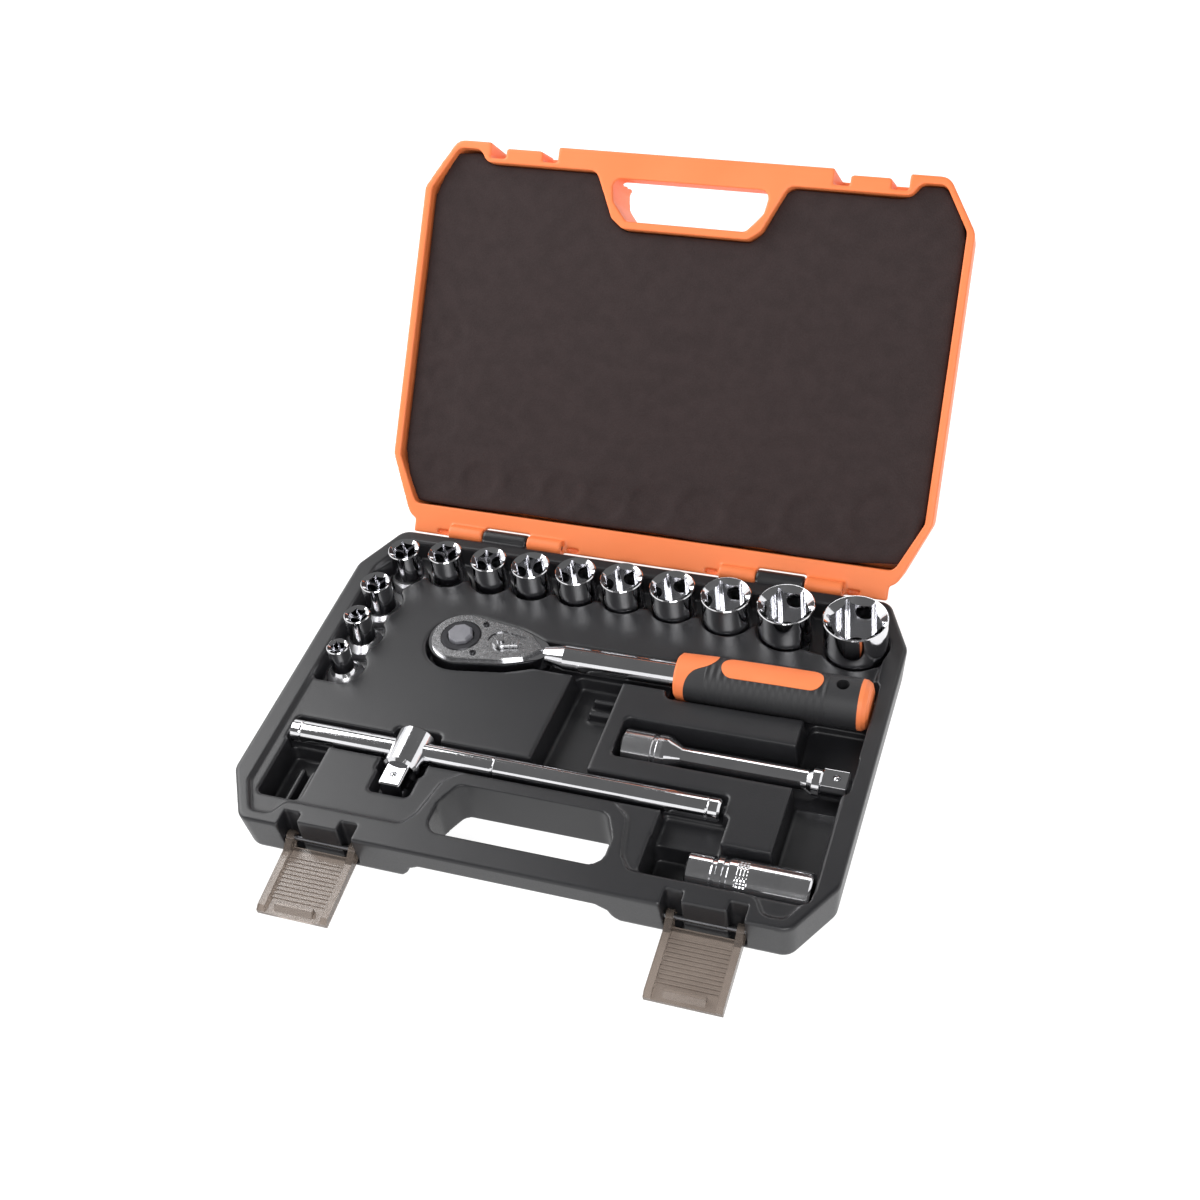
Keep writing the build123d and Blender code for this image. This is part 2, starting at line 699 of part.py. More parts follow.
with BuildPart() as spark_plug_socket:
    turned_bar(
        PLUG_X,
        PLUG_Y,
        PLUG_Z,
        [
            (0.0, PLUG_RADIUS - 1.8),
            (0.8, PLUG_RADIUS - 1.0),
            (13.0, PLUG_RADIUS - 1.0),
            (13.6, PLUG_RADIUS - 1.7),
            (15.4, PLUG_RADIUS - 1.7),
            (16.0, PLUG_RADIUS - 0.2),
            (19.0, PLUG_RADIUS - 0.2),
            (19.6, PLUG_RADIUS - 1.0),
            (21.6, PLUG_RADIUS - 1.0),
            (22.2, PLUG_RADIUS),
            (PLUG_LENGTH - 1.0, PLUG_RADIUS),
            (PLUG_LENGTH, PLUG_RADIUS - 0.8),
        ],
    )
    plug_mouth = Plane(origin=(PLUG_X + PLUG_LENGTH, PLUG_Y, PLUG_Z), x_dir=(0, 1, 0), z_dir=(-1, 0, 0))
    hex_cut(plug_mouth, 16.0, 34.0)
    with BuildSketch(along_x(PLUG_X, PLUG_Y, PLUG_Z)):
        Rectangle(DRIVE_HOLE, DRIVE_HOLE)
    extrude(amount=15.0, mode=Mode.SUBTRACT)
    with BuildSketch(along_x(PLUG_X + 14.0, PLUG_Y, PLUG_Z)):
        Circle(7.2)
    extrude(amount=PLUG_LENGTH - 34.0 - 13.0, mode=Mode.SUBTRACT)
save(spark_plug_socket, "spark_plug_socket")

with BuildPart() as spark_plug_insert:
    with BuildSketch(along_x(PLUG_X + 18.0, PLUG_Y, PLUG_Z)):
        Circle(7.2)
        Circle(4.6, mode=Mode.SUBTRACT)
    extrude(amount=12.0)
save(spark_plug_insert, "spark_plug_insert")


# ---------------------------------------------------------------- ratchet
def head_outline(height, grow):
    """The full pear shape of the ratchet's head, seen from above."""
    with BuildSketch(ratchet_plane(height)) as pear:
        Circle(HEAD_RADIUS + grow)
        with Locations((SHOULDER_X, 0)):
            Circle(SHOULDER_RADIUS + grow)
        with Locations((NECK_X, 0)):
            Circle(NECK_RADIUS + grow)
        make_hull()
    return pear.sketch


def cover_outline(height):
    """The cover plate, seen from above: round at the head and ending in an arrow towards the shank."""
    inset = 1.8
    with BuildSketch(ratchet_plane(height)) as plate:
        Circle(HEAD_RADIUS - inset)
        with Locations((SHOULDER_X, 0)):
            Circle(SHOULDER_RADIUS - inset)
        with BuildLine():
            Polyline((38.0, 10.4), (41.5, 9.4), (COVER_TIP, 0.0), (41.5, -9.4), (38.0, -10.4), close=True)
        make_face()
        make_hull()
    return plate.sketch


def ratchet_across(distance):
    """A plane across the ratchet's handle, at a distance from its drive axis."""
    turn = math.radians(RATCHET_TURN)
    return Plane(
        origin=(
            RATCHET_X + distance * math.cos(turn),
            RATCHET_Y + distance * math.sin(turn),
            SHANK_Z,
        ),
        x_dir=(-math.sin(turn), math.cos(turn), 0),
        z_dir=(math.cos(turn), math.sin(turn), 0),
    )


PAWL_X = 25.0
COVER_TIP = 50.6
LEVER_POST = 2.6
LEVER_TRAY = 0.8
CAVITY_FLOOR = 17.5
CAVITY_TOP = HEAD_TOP
HUB_RADIUS = 9.0
RING_RADIUS = 11.8

with BuildPart() as ratchet_body:
    extrude(head_outline(HEAD_BOTTOM, 0.0), amount=HEAD_TOP - HEAD_BOTTOM)
    chamfer(ratchet_body.faces().sort_by(Axis.Z)[0].outer_wire().edges(), 1.2)
    with BuildSketch(ratchet_across(SHANK_START)):
        Circle(4.8)
    with BuildSketch(ratchet_across(SHANK_FULL)):
        Circle(SHANK_RADIUS)
    loft()
    with BuildSketch(ratchet_across(SHANK_FULL)):
        Circle(SHANK_RADIUS)
    extrude(amount=GRIP_START - SHANK_FULL)
    with BuildSketch(ratchet_across(GRIP_START)):
        Circle(TANG_RADIUS)
    extrude(amount=TANG_LENGTH)
    with BuildSketch(ratchet_plane(CAVITY_FLOOR)):
        Circle(GEAR_RADIUS + 0.35)
    extrude(amount=20.0, mode=Mode.SUBTRACT)
    with BuildSketch(ratchet_plane(CAVITY_FLOOR)):
        with Locations((PAWL_X - 4.0, 0)):
            RectangleRounded(19.0, 18.0, 3.0)
    extrude(amount=20.0, mode=Mode.SUBTRACT)
    with BuildSketch(ratchet_plane(HEAD_BOTTOM - 1.0)):
        Circle(10.05)
    extrude(amount=5.0, mode=Mode.SUBTRACT)
save(ratchet_body, "ratchet_body")

COVER_SCREWS = ((11.5, 11.6), (11.5, -11.6))
with BuildPart() as ratchet_cover:
    extrude(cover_outline(HEAD_TOP), amount=COVER_TOP - HEAD_TOP)
    chamfer(ratchet_cover.faces().sort_by(Axis.Z)[-1].outer_wire().edges(), 0.6)
    with BuildSketch(ratchet_plane(HEAD_TOP - 1.0)):
        Circle(RING_RADIUS + 0.3)
    extrude(amount=6.0, mode=Mode.SUBTRACT)
    with BuildSketch(ratchet_plane(HEAD_TOP - 1.0)):
        with Locations((PAWL_X, 0)):
            Circle(LEVER_POST + 0.1)
    extrude(amount=6.0, mode=Mode.SUBTRACT)
    with BuildSketch(ratchet_plane(COVER_TOP - LEVER_TRAY)):
        with Locations((PAWL_X, 0)):
            Circle(8.6)
        with BuildLine():
            Polyline((PAWL_X, 8.6), (PAWL_X + 13.0, 6.4), (PAWL_X + 13.0, -6.4), (PAWL_X, -8.6), close=True)
        make_face()
        Circle(RING_RADIUS + 2.2, mode=Mode.SUBTRACT)
    extrude(amount=3.0, mode=Mode.SUBTRACT)
save(ratchet_cover, "ratchet_cover")

with BuildPart() as cover_screws:
    with BuildSketch(ratchet_plane(COVER_TOP)):
        with Locations(*COVER_SCREWS):
            Circle(1.9)
    extrude(amount=0.9)
    chamfer(cover_screws.faces().sort_by(Axis.Z)[-2:].edges(), 0.3)
    with BuildSketch(ratchet_plane(COVER_TOP + 0.3)):
        with Locations(*COVER_SCREWS):
            Rectangle(0.6, 2.6)
            Rectangle(2.6, 0.6)
    extrude(amount=1.0, mode=Mode.SUBTRACT)
save(cover_screws, "cover_screws")

with BuildPart() as ratchet_drive:
    with BuildSketch(ratchet_plane(CAVITY_FLOOR + 0.3)):
        Circle(GEAR_RADIUS - 0.8)
        with PolarLocations(GEAR_RADIUS - 1.2, GEAR_TEETH):
            RegularPolygon(1.2, 3)
    extrude(amount=8.0)
    with BuildSketch(ratchet_plane(HEAD_BOTTOM)):
        Circle(9.98)
    extrude(amount=CAVITY_FLOOR + 0.3 - HEAD_BOTTOM)
    with BuildSketch(ratchet_plane(2.6)):
        RectangleRounded(DRIVE_SQUARE, DRIVE_SQUARE, 1.0)
    extrude(amount=HEAD_BOTTOM - 2.6)
    chamfer(ratchet_drive.faces().sort_by(Axis.Z)[0].edges(), 0.8)
    with BuildSketch(ratchet_plane(CAVITY_FLOOR + 8.3)):
        Circle(HUB_RADIUS)
    extrude(amount=COVER_TOP - CAVITY_FLOOR - 8.3)
    with BuildSketch(ratchet_plane(HEAD_TOP)):
        Circle(RING_RADIUS)
    extrude(amount=COVER_TOP + 0.5 - HEAD_TOP)
    chamfer(ratchet_drive.faces().sort_by(Axis.Z)[-1].edges(), 0.6)
    with BuildSketch(ratchet_plane(COVER_TOP - 4.5)):
        Circle(7.9)
    extrude(amount=6.0, mode=Mode.SUBTRACT)
    with BuildSketch(ratchet_plane(6.0)):
        Circle(2.2)
    extrude(amount=30.0, mode=Mode.SUBTRACT)
    with BuildSketch(Plane(ratchet_plane(8.5).origin, x_dir=(1, 0, 0), z_dir=(0, -1, 0))):
        Circle(2.15)
    extrude(amount=10.0, mode=Mode.SUBTRACT)
save(ratchet_drive, "ratchet_drive")

with BuildPart() as drive_ball:
    with Locations(ratchet_plane(8.5).origin + Vector(0, -DRIVE_SQUARE / 2 + 1.3, 0)):
        Sphere(2.1)
save(drive_ball, "drive_ball")

with BuildPart() as release_button:
    with BuildSketch(ratchet_plane(COVER_TOP - 1.8)):
        RegularPolygon(7.5, 8)
    extrude(amount=5.0)
    chamfer(release_button.faces().sort_by(Axis.Z)[-1].edges(), 1.0)
    with BuildSketch(ratchet_plane(12.0)):
        Circle(2.0)
    extrude(amount=COVER_TOP - 1.8 - 12.0)
save(release_button, "release_button")

with BuildPart() as reversing_lever:
    lever_low = COVER_TOP - LEVER_TRAY + 0.35
    with BuildSketch(ratchet_plane(lever_low)):
        with Locations((PAWL_X, 0)):
            Circle(5.2)
        with BuildLine():
            Polyline((PAWL_X, 4.8), (PAWL_X + 11.0, 2.2), (PAWL_X + 11.0, -2.2), (PAWL_X, -4.8), close=True)
        make_face()
    extrude(amount=2.0)
    chamfer(reversing_lever.faces().sort_by(Axis.Z)[-1].edges(), 0.5)
    with BuildSketch(ratchet_plane(lever_low + 1.8)):
        with Locations((PAWL_X, 0)):
            Circle(2.4)
        with Locations((PAWL_X + 8.6, 0)):
            RectangleRounded(2.6, 3.6, 0.8)
    extrude(amount=1.6)
    with BuildSketch(ratchet_plane(HEAD_TOP - 1.2)):
        with Locations((PAWL_X, 0)):
            Circle(LEVER_POST)
    extrude(amount=lever_low - HEAD_TOP + 1.2)
save(reversing_lever, "reversing_lever")

with BuildPart() as ratchet_pawl:
    with BuildSketch(ratchet_plane(CAVITY_FLOOR + 0.4)):
        with Locations((PAWL_X - 6.0, 0)):
            Rectangle(10.0, 11.0)
        with Locations((PAWL_X, 0)):
            Circle(4.4)
        Circle(GEAR_RADIUS + 0.9, mode=Mode.SUBTRACT)
    extrude(amount=HEAD_TOP - 1.5 - CAVITY_FLOOR - 0.4)
save(ratchet_pawl, "ratchet_pawl")


HANG_HOLE = 224.7
INLAY_START = 157.0
INLAY_END = 214.0
INLAY_HALF = 6.9


def grip_profile(grow=0.0):
    """The grip's round body, from the collar's rounded front to the end cap, a little waisted."""
    stations = [(0.0, -2.6), (1.6, -1.0), (9.0, -0.7), (30.0, -0.1), (58.0, 0.1), (GRIP_END - COLLAR_START, 0.0)]
    return [(at, GRIP_RADIUS + change + grow) for at, change in stations]


def turned_on_handle(distance, profile):
    """Turn a profile about the handle's axis, starting at a distance from the drive axis."""
    across = ratchet_across(distance)
    side = Plane(origin=across.origin, x_dir=across.z_dir, z_dir=-across.x_dir)
    with BuildSketch(side) as half:
        with BuildLine():
            Polyline((0.0, 0.0), *profile, (profile[-1][0], 0.0), close=True)
        make_face()
    revolve(half.sketch, axis=Axis(across.origin, across.z_dir))


def handle_pill(height, grow=0.0):
    """The pill-shaped outline of the inlay on top of the grip."""
    with BuildSketch(ratchet_plane(height)) as pill:
        with Locations(((INLAY_START + INLAY_END) / 2, 0)):
            SlotOverall(INLAY_END - INLAY_START + 2 * grow, 2 * (INLAY_HALF + grow))
    return pill.sketch


def collar_region():
    """The collar seen from above: a ring that sweeps back into a rounded tongue over the grip's top."""
    front = COLLAR_START - 2.0
    with BuildSketch(ratchet_plane(SHANK_Z - 30.0)) as region:
        with BuildLine():
            Polyline((GRIP_START, -20.0), (front, -20.0), (front, 20.0), (GRIP_START + 8.0, 20.0))
            Spline(
                (GRIP_START + 8.0, 20.0),
                (GRIP_START + 14.4, 12.0),
                (GRIP_START + 15.6, 5.0),
                (GRIP_START + 11.6, -1.2),
                (GRIP_START + 4.6, -5.0),
                (GRIP_START + 0.8, -9.4),
                (GRIP_START, -20.0),
            )
        make_face()
    return region.sketch


def handle_bore():
    """The bore that takes the shank's end and the tang behind it."""
    with BuildSketch(ratchet_across(COLLAR_START - 1.0)) as wide:
        Circle(SHANK_RADIUS)
    extrude(wide.sketch, amount=GRIP_START - COLLAR_START + 1.0, mode=Mode.SUBTRACT)
    with BuildSketch(ratchet_across(GRIP_START - 1.0)) as narrow:
        Circle(TANG_RADIUS)
    extrude(narrow.sketch, amount=TANG_LENGTH + 1.0, mode=Mode.SUBTRACT)


with BuildPart() as ratchet_grip:
    turned_on_handle(COLLAR_START, grip_profile())
    handle_bore()
    extrude(collar_region(), amount=60.0, mode=Mode.SUBTRACT)
    with BuildSketch(ratchet_plane(SHANK_Z - 30.0)):
        with Locations((HANG_HOLE, 0)):
            Circle(3.6)
    extrude(amount=60.0, mode=Mode.SUBTRACT)
    extrude(handle_pill(SHANK_Z + 9.5), amount=20.0, mode=Mode.SUBTRACT)
save(ratchet_grip, "ratchet_grip")

with BuildPart() as grip_inlay:
    turned_on_handle(COLLAR_START, grip_profile(0.5))
    extrude(handle_pill(SHANK_Z + 9.5), amount=20.0, mode=Mode.INTERSECT)
save(grip_inlay, "grip_inlay")

with BuildPart() as grip_collar:
    turned_on_handle(COLLAR_START, grip_profile(0.15))
    handle_bore()
    extrude(collar_region(), amount=60.0, mode=Mode.INTERSECT)
save(grip_collar, "grip_collar")

with BuildPart() as grip_end_cap:
    cap = RATCHET_END - GRIP_END
    turned_on_handle(
        GRIP_END,
        [(0.0, GRIP_RADIUS), (cap * 0.4, GRIP_RADIUS - 0.2), (cap * 0.8, GRIP_RADIUS - 1.6), (cap, GRIP_RADIUS - 4.5)],
    )
save(grip_end_cap, "grip_end_cap")


# ---------------------------------------------------------------- sliding T-handle
with BuildPart() as t_bar_rod:
    groove = 0.45
    middle = ROD_LENGTH / 2
    turned_bar(
        ROD_X,
        ROD_Y,
        ROD_Z,
        [
            (0.0, ROD_RADIUS - 1.2),
            (1.2, ROD_RADIUS),
            (6.0, ROD_RADIUS),
            (6.8, ROD_RADIUS - groove),
            (7.6, ROD_RADIUS),
            (middle - 3.2, ROD_RADIUS),
            (middle - 2.4, ROD_RADIUS - groove),
            (middle - 1.6, ROD_RADIUS),
            (ROD_LENGTH - 7.6, ROD_RADIUS),
            (ROD_LENGTH - 6.8, ROD_RADIUS - groove),
            (ROD_LENGTH - 6.0, ROD_RADIUS),
            (ROD_LENGTH - 1.2, ROD_RADIUS),
            (ROD_LENGTH, ROD_RADIUS - 1.2),
        ],
    )
save(t_bar_rod, "t_bar_rod")


def along_y(y):
    """A plane across the T-handle's sliding head: its normal points to the front."""
    return Plane(origin=(T_HEAD_X, y, ROD_Z), x_dir=(1, 0, 0), z_dir=(0, -1, 0))


with BuildPart() as t_bar_head:
    with BuildSketch(along_y(T_HEAD_BACK)):
        Circle(T_HEAD_RADIUS)
    extrude(amount=T_HEAD_BACK - T_HEAD_FRONT)
    chamfer(t_bar_head.faces().filter_by(Axis.Y).edges(), 1.6)
    with BuildSketch(along_y(T_HEAD_FRONT)):
        RectangleRounded(DRIVE_SQUARE, DRIVE_SQUARE, 1.0)
    extrude(amount=14.0)
    chamfer(t_bar_head.faces().sort_by(Axis.Y)[0].edges(), 0.8)
    with BuildSketch(along_x(T_HEAD_X, ROD_Y, ROD_Z)):
        Circle(ROD_RADIUS + 0.08)
    extrude(amount=20.0, both=True, mode=Mode.SUBTRACT)
    with BuildSketch(Plane(origin=(T_HEAD_X, T_HEAD_FRONT - 7.0, ROD_Z))):
        Circle(2.15)
    extrude(amount=10.0, mode=Mode.SUBTRACT)
save(t_bar_head, "t_bar_head")

with BuildPart() as t_bar_ball:
    with Locations((T_HEAD_X, T_HEAD_FRONT - 7.0, ROD_Z + DRIVE_SQUARE / 2 - 1.3)):
        Sphere(2.1)
save(t_bar_ball, "t_bar_ball")


# ---------------------------------------------------------------- extension bar
with BuildPart() as extension_bar:
    shaft = 6.4
    turned_bar(
        EXTENSION_X,
        EXTENSION_Y,
        EXTENSION_Z,
        [
            (0.0, EXTENSION_RADIUS - 0.9),
            (0.9, EXTENSION_RADIUS),
            (17.0, EXTENSION_RADIUS),
            (17.6, EXTENSION_RADIUS - 0.7),
            (19.4, EXTENSION_RADIUS - 0.7),
            (20.0, EXTENSION_RADIUS),
            (25.0, EXTENSION_RADIUS),
            (33.0, shaft),
            (EXTENSION_LENGTH - 22.0, shaft),
            (EXTENSION_LENGTH - 19.0, shaft + 1.8),
            (EXTENSION_LENGTH - 15.0, shaft + 1.8),
            (EXTENSION_LENGTH - 14.0, shaft + 1.0),
        ],
    )
    with BuildSketch(along_x(EXTENSION_X + EXTENSION_LENGTH - 14.0, EXTENSION_Y, EXTENSION_Z)):
        RectangleRounded(DRIVE_SQUARE - 0.1, DRIVE_SQUARE - 0.1, 1.0)
    extrude(amount=14.0)
    chamfer(extension_bar.faces().sort_by(Axis.X)[-1].edges(), 0.8)
    with BuildSketch(along_x(EXTENSION_X, EXTENSION_Y, EXTENSION_Z)):
        Rectangle(DRIVE_HOLE, DRIVE_HOLE)
    extrude(amount=16.0, mode=Mode.SUBTRACT)
    with BuildSketch(Plane(origin=(EXTENSION_X + EXTENSION_LENGTH - 6.5, EXTENSION_Y, EXTENSION_Z))):
        Circle(2.15)
    extrude(amount=10.0, mode=Mode.SUBTRACT)
save(extension_bar, "extension_bar")

with BuildPart() as extension_ball:
    ball_x = EXTENSION_X + EXTENSION_LENGTH - 6.5
    with Locations((ball_x, EXTENSION_Y, EXTENSION_Z + DRIVE_SQUARE / 2 - 1.3)):
        Sphere(2.1)
save(extension_ball, "extension_ball")
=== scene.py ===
"""Looks for an open socket wrench set: soft moulded case, foam-lined lid, clear latches, chrome tools."""

import bmesh
import bpy
import json
import math
from mathutils import Matrix, Vector, noise


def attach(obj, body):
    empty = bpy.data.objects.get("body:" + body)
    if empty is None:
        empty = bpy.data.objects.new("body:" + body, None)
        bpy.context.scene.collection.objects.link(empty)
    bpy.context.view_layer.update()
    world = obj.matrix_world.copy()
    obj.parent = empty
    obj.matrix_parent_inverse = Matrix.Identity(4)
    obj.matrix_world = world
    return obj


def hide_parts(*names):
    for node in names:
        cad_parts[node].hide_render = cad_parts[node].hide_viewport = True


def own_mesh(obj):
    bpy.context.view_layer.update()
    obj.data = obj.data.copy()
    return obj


MM = 0.001
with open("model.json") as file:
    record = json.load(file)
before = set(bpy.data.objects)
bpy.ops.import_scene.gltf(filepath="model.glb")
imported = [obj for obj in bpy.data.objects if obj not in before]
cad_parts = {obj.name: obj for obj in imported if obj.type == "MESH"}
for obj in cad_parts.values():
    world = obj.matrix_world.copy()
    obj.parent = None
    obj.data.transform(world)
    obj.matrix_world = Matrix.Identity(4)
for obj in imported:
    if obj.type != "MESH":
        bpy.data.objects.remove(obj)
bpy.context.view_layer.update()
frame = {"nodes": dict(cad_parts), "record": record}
NODES = frame["nodes"]
scene = bpy.context.scene

# ---------------------------------------------------------------- camera
CAMERA_PLACE = Vector((290.66, -597.68, 737.25)) * MM
CAMERA_AZIMUTH = math.radians(23.981)
CAMERA_ELEVATION = math.radians(43.583)
CAMERA_ROLL = math.radians(-8.186)
CAMERA_LENS = 52.378


def make_camera():
    """A camera that looks down at the open case from the front right."""
    back = Vector((
        math.sin(CAMERA_AZIMUTH) * math.cos(CAMERA_ELEVATION),
        -math.cos(CAMERA_AZIMUTH) * math.cos(CAMERA_ELEVATION),
        math.sin(CAMERA_ELEVATION),
    ))
    level = Vector((math.cos(CAMERA_AZIMUTH), math.sin(CAMERA_AZIMUTH), 0.0))
    rise = back.cross(level)
    right = level * math.cos(CAMERA_ROLL) + rise * math.sin(CAMERA_ROLL)
    up = rise * math.cos(CAMERA_ROLL) - level * math.sin(CAMERA_ROLL)
    data = bpy.data.cameras.new("camera")
    data.lens = CAMERA_LENS
    data.sensor_width = 36.0
    data.clip_start = 0.01
    data.clip_end = 20.0
    camera = bpy.data.objects.new("camera", data)
    turn = Matrix((right, up, back)).transposed()
    camera.matrix_world = Matrix.Translation(CAMERA_PLACE) @ turn.to_4x4()
    scene.collection.objects.link(camera)
    scene.camera = camera


# ---------------------------------------------------------------- light and floor
def area_light(name, place, target, size, power, colour=(1.0, 1.0, 1.0)):
    """A rectangular softbox at place that faces target."""
    data = bpy.data.lights.new(name, "AREA")
    data.shape = "RECTANGLE"
    data.size, data.size_y = size
    data.energy = power
    data.color = colour
    lamp = bpy.data.objects.new(name, data)
    lamp.location = place
    away = Vector(place) - Vector(target)
    lamp.rotation_mode = "QUATERNION"
    lamp.rotation_quaternion = away.to_track_quat("Z", "Y")
    scene.collection.objects.link(lamp)


def make_backdrop():
    """A round sheet of glowing white paper: flat under the case, then curving up into a low wall."""
    profile = [(0.6, 0.0), (3.2, 0.0), (3.6, 0.08), (3.88, 0.32), (4.0, 0.75), (4.0, 2.2)]
    turns = 48
    corners = [(0.0, 0.0, 0.0)]
    for radius, height in profile:
        for step in range(turns):
            angle = 2 * math.pi * step / turns
            corners.append((radius * math.cos(angle), radius * math.sin(angle), height))
    faces = [(0, 1 + step, 1 + (step + 1) % turns) for step in range(turns)]
    for ring in range(len(profile) - 1):
        low = 1 + ring * turns
        for step in range(turns):
            after = (step + 1) % turns
            faces.append((low + step, low + turns + step, low + turns + after, low + after))
    mesh = bpy.data.meshes.new("backdrop")
    mesh.from_pydata(corners, [], faces)
    backdrop = bpy.data.objects.new("backdrop", mesh)
    backdrop.location.z = -0.0003
    scene.collection.objects.link(backdrop)
    glow = {"Emission Color": (1.0, 1.0, 1.0, 1.0), "Emission Strength": 0.95}
    paper = surface("paper", (0.24, 0.24, 0.24), (0.22, 0.22, 0.22), 3.0, 60.0, (0.8, 0.9), 0.02, sockets=glow)
    mesh.materials.append(paper)


def make_studio():
    """A dim room, a big softbox to the upper left, a smaller one in front and a strip behind."""
    world = bpy.data.worlds.new("studio")
    scene.world = world
    world.use_nodes = True
    world.node_tree.nodes["Background"].inputs["Color"].default_value = (1.0, 1.0, 1.0, 1.0)
    world.node_tree.nodes["Background"].inputs["Strength"].default_value = 0.14
    middle = (0.0, 0.05, 0.03)
    area_light("softbox_left", (-1.15, 0.25, 1.10), middle, (1.5, 1.1), 26.0)
    area_light("softbox_back", (0.25, 1.45, 1.20), middle, (1.3, 0.4), 5.0)
    area_light("softbox_front", (0.50, -1.25, 1.25), middle, (0.9, 0.5), 14.0)
    make_backdrop()


# ---------------------------------------------------------------- materials
def surface(name, colour, tint, patch, grain, roughness, bump, metallic=0.0, sockets=()):
    """A material whose colour drifts between two tones, with fine grain in its gloss and its relief.

    patch and grain are noise scales in cycles per metre, roughness is a (low, high) pair,
    bump is the relief's depth in millimetres, sockets are further constants of the shader."""
    material = bpy.data.materials.new(name)
    material.use_nodes = True
    tree = material.node_tree
    shader = tree.nodes["Principled BSDF"]
    place = tree.nodes.new("ShaderNodeTexCoord")

    def speckle(scale, detail):
        node = tree.nodes.new("ShaderNodeTexNoise")
        node.inputs["Scale"].default_value = scale
        node.inputs["Detail"].default_value = detail
        tree.links.new(place.outputs["Object"], node.inputs["Vector"])
        return node

    patches = speckle(patch, 3.0)
    grains = speckle(grain, 2.0)
    tones = tree.nodes.new("ShaderNodeValToRGB")
    tones.color_ramp.elements[0].position = 0.35
    tones.color_ramp.elements[1].position = 0.65
    tones.color_ramp.elements[0].color = (*colour, 1.0)
    tones.color_ramp.elements[1].color = (*tint, 1.0)
    tree.links.new(patches.outputs["Fac"], tones.inputs["Fac"])
    tree.links.new(tones.outputs["Color"], shader.inputs["Base Color"])
    gloss = tree.nodes.new("ShaderNodeMapRange")
    gloss.inputs["From Min"].default_value = 0.3
    gloss.inputs["From Max"].default_value = 0.7
    gloss.inputs["To Min"].default_value = roughness[0]
    gloss.inputs["To Max"].default_value = roughness[1]
    tree.links.new(grains.outputs["Fac"], gloss.inputs["Value"])
    tree.links.new(gloss.outputs["Result"], shader.inputs["Roughness"])
    if bump:
        relief = tree.nodes.new("ShaderNodeBump")
        relief.inputs["Strength"].default_value = 1.0
        relief.inputs["Distance"].default_value = bump * MM
        tree.links.new(grains.outputs["Fac"], relief.inputs["Height"])
        tree.links.new(relief.outputs["Normal"], shader.inputs["Normal"])
    shader.inputs["Metallic"].default_value = metallic
    for socket, value in dict(sockets).items():
        shader.inputs[socket].default_value = value
    return material


def math_node(tree, operation, first, second):
    """A math node of two inputs, each either a socket or a number."""
    node = tree.nodes.new("ShaderNodeMath")
    node.operation = operation
    for port, value in zip(node.inputs, (first, second)):
        if isinstance(value, float):
            port.default_value = value
        else:
            tree.links.new(value, port)
    return node.outputs[0]


def band(tree, along, start, end, soft=0.3):
    """One between two places along an axis (mm), zero outside them."""
    def step(place, low, high):
        ramp = tree.nodes.new("ShaderNodeMapRange")
        ramp.inputs["From Min"].default_value = (place - soft) * MM
        ramp.inputs["From Max"].default_value = (place + soft) * MM
        ramp.inputs["To Min"].default_value = low
        ramp.inputs["To Max"].default_value = high
        tree.links.new(along, ramp.inputs["Value"])
        return ramp.outputs["Result"]

    return math_node(tree, "MULTIPLY", step(start, 0.0, 1.0), step(end, 1.0, 0.0))


def axes_of(tree):
    """The three coordinates over the part."""
    place = tree.nodes.new("ShaderNodeTexCoord")
    split = tree.nodes.new("ShaderNodeSeparateXYZ")
    tree.links.new(place.outputs["Object"], split.inputs["Vector"])
    return split.outputs


def satin(material, axis, start, end, extra):
    """Dull the finish between two places along an axis."""
    tree = material.node_tree
    port = tree.nodes["Principled BSDF"].inputs["Roughness"]
    before = port.links[0].from_socket
    dull = math_node(tree, "MULTIPLY", band(tree, axes_of(tree)[axis], start, end), extra)
    tree.links.new(math_node(tree, "ADD", before, dull), port)
    return material


def ridges(material, axis, start, end, pitch, depth, across=None):
    """Fine ridges between two places along an axis, or a diamond knurl when across names a second axis."""
    tree = material.node_tree
    axes = axes_of(tree)
    turn = 2 * math.pi / (pitch * MM)
    if across is None:
        wave = math_node(tree, "SINE", math_node(tree, "MULTIPLY", axes[axis], turn), 0.0)
    else:
        rising = math_node(tree, "ADD", axes[axis], axes[across])
        falling = math_node(tree, "SUBTRACT", axes[axis], axes[across])
        one = math_node(tree, "SINE", math_node(tree, "MULTIPLY", rising, turn / 2), 0.0)
        two = math_node(tree, "SINE", math_node(tree, "MULTIPLY", falling, turn / 2), 0.0)
        wave = math_node(tree, "MULTIPLY", one, two)
    height = math_node(tree, "MULTIPLY", wave, band(tree, axes[axis], start, end))
    relief = tree.nodes.new("ShaderNodeBump")
    relief.inputs["Strength"].default_value = 1.0
    relief.inputs["Distance"].default_value = depth * MM
    tree.links.new(height, relief.inputs["Height"])
    port = tree.nodes["Principled BSDF"].inputs["Normal"]
    if port.links:
        tree.links.new(port.links[0].from_socket, relief.inputs["Normal"])
    tree.links.new(relief.outputs["Normal"], port)
    return material


def make_chrome(name):
    """Mirror chrome with a little waviness in its gloss."""
    return surface(name, (0.74, 0.74, 0.76), (0.80, 0.80, 0.82), 60.0, 500.0, (0.05, 0.10), 0.004, 1.0)


